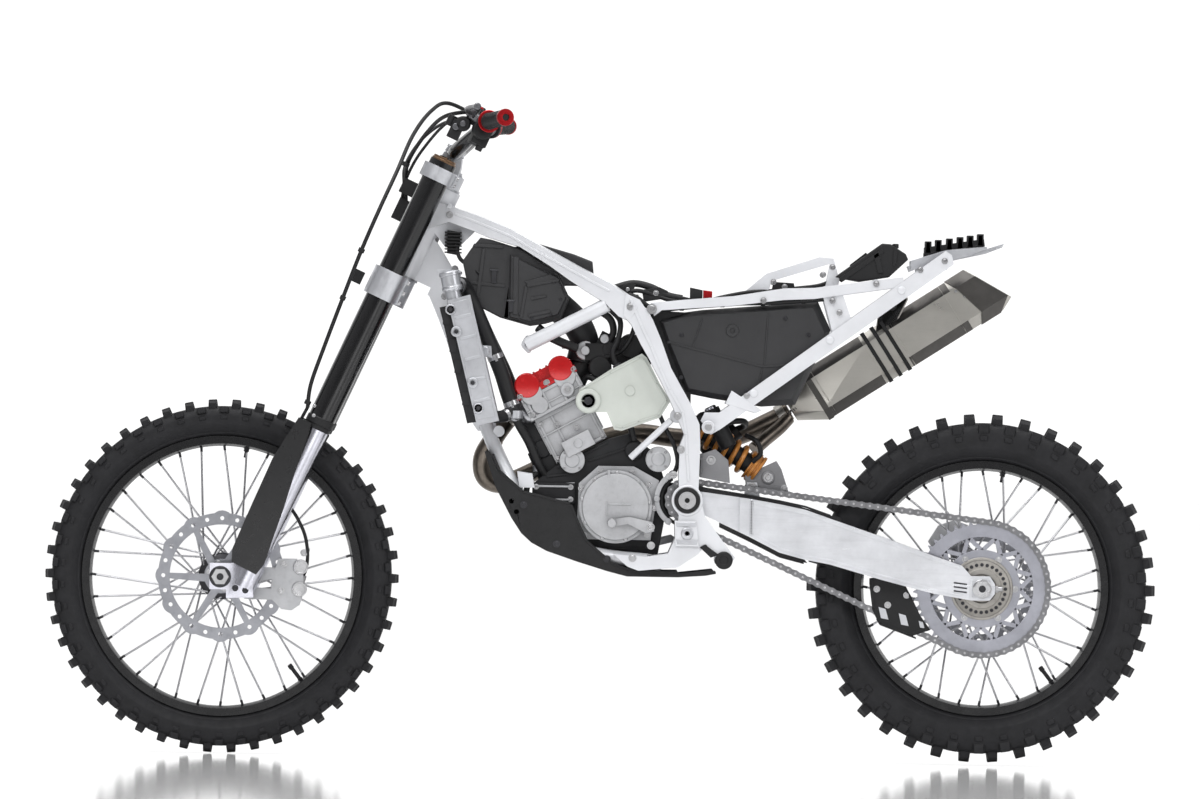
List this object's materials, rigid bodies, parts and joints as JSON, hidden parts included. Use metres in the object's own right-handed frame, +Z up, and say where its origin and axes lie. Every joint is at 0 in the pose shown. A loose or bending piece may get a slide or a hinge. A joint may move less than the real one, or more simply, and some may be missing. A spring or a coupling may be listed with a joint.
{
  "type": "motocross motorcycle, stripped rolling chassis",
  "caption": "Motocross motorcycle without seat or bodywork: white frame, black fork with guards, spoked knobbly wheels, alloy swingarm and slanted silencer. Bar steers, both wheels turn.",
  "frame": {"origin": "rider's place on the centreline of the subframe rails, 0.915 m over the ground", "axes": "+X forward, +Y to the rider's left, +Z up"},
  "size_m": [2.196, 0.8254, 1.3003],
  "materials": {
    "tyre": "matte, blocky tread",
    "rim_black": "satin black",
    "spoke_steel": "satin",
    "hub_black": "satin",
    "hub_tan": "satin, warm",
    "disc_steel": "brushed",
    "sprocket": "satin",
    "satin_alloy": "satin",
    "arm_alloy": "brushed bright",
    "fork_black": "semi-gloss black",
    "black_plastic": "semi-matte",
    "axle_steel": "satin",
    "cast_grey": "cast, matte",
    "engine_dark": "matte",
    "grip_rubber": "matte",
    "lever_grey": "satin",
    "hose_rubber": "matte",
    "frame_white": "satin pearl white",
    "red_paint": "gloss red",
    "charcoal_plastic": "matte",
    "tank_white": "milky",
    "pipe_brown": "heat-tinted",
    "titanium": "brushed, warm grey",
    "skid_black": "matte",
    "spring_orange": "satin",
    "chain_steel": "oiled"
  },
  "bodies": {
    "chassis": {"frame": "frame_white", "side_plates": "frame_white", "cross_tubes": "frame_white", "cradle": "frame_white", "subframe": "frame_white", "tail_bracket": "satin_alloy", "tail_rubber": "hose_rubber", "electronics_box": "black_plastic", "crankcase": "engine_dark", "engine_covers": "cast_grey", "cylinder": "cast_grey", "valve_cover": "red_paint", "airbox": "charcoal_plastic", "radiators": "satin_alloy", "coolant_hoses": "hose_rubber", "overflow_tank": "tank_white", "fuel_tank": "charcoal_plastic", "exhaust_pipe": "pipe_brown", "silencer": "titanium", "skid_plate": "skid_black", "swingarm": "arm_alloy", "chain_guides": "black_plastic", "shock": "spring_orange", "rear_axles": "axle_steel", "rear_caliper": "cast_grey", "drive_chain": "chain_steel", "drive_sprocket": "chain_steel", "foot_controls": "lever_grey", "wiring": "hose_rubber"},
    "steering": {"triple_clamps": "satin_alloy", "fork_tubes": "fork_black", "fork_lowers": "satin_alloy", "fork_guards": "black_plastic", "front_axle": "axle_steel", "front_caliper": "cast_grey", "handlebar": "fork_black", "grips": "grip_rubber", "bar_controls": "lever_grey", "front_hoses": "hose_rubber"},
    "front_wheel": {"front_tyre": "tyre", "front_rim": "rim_black", "front_spokes": "spoke_steel", "front_hub": "hub_black", "front_disc": "disc_steel"},
    "rear_wheel": {"rear_tyre": "tyre", "rear_rim": "rim_black", "rear_spokes": "spoke_steel", "rear_hub": "hub_tan", "rear_sprocket": "sprocket", "rear_disc": "disc_steel"}
  },
  "joints": [
    {"name": "steering_turn", "type": "hinge", "parent": "chassis", "child": "steering", "pos_m": [0.62336, 0, 0.12795], "axis": [-0.4147, 0, 0.91], "range_deg": [-40, 40]},
    {"name": "front_wheel_spin", "type": "hinge", "parent": "steering", "child": "front_wheel", "pos_m": [1.021, 0, -0.57], "axis": [0, 1, 0], "continuous": true},
    {"name": "rear_wheel_spin", "type": "hinge", "parent": "chassis", "child": "rear_wheel", "pos_m": [-0.48, 0, -0.57], "axis": [0, 1, 0], "continuous": true}
  ]
}
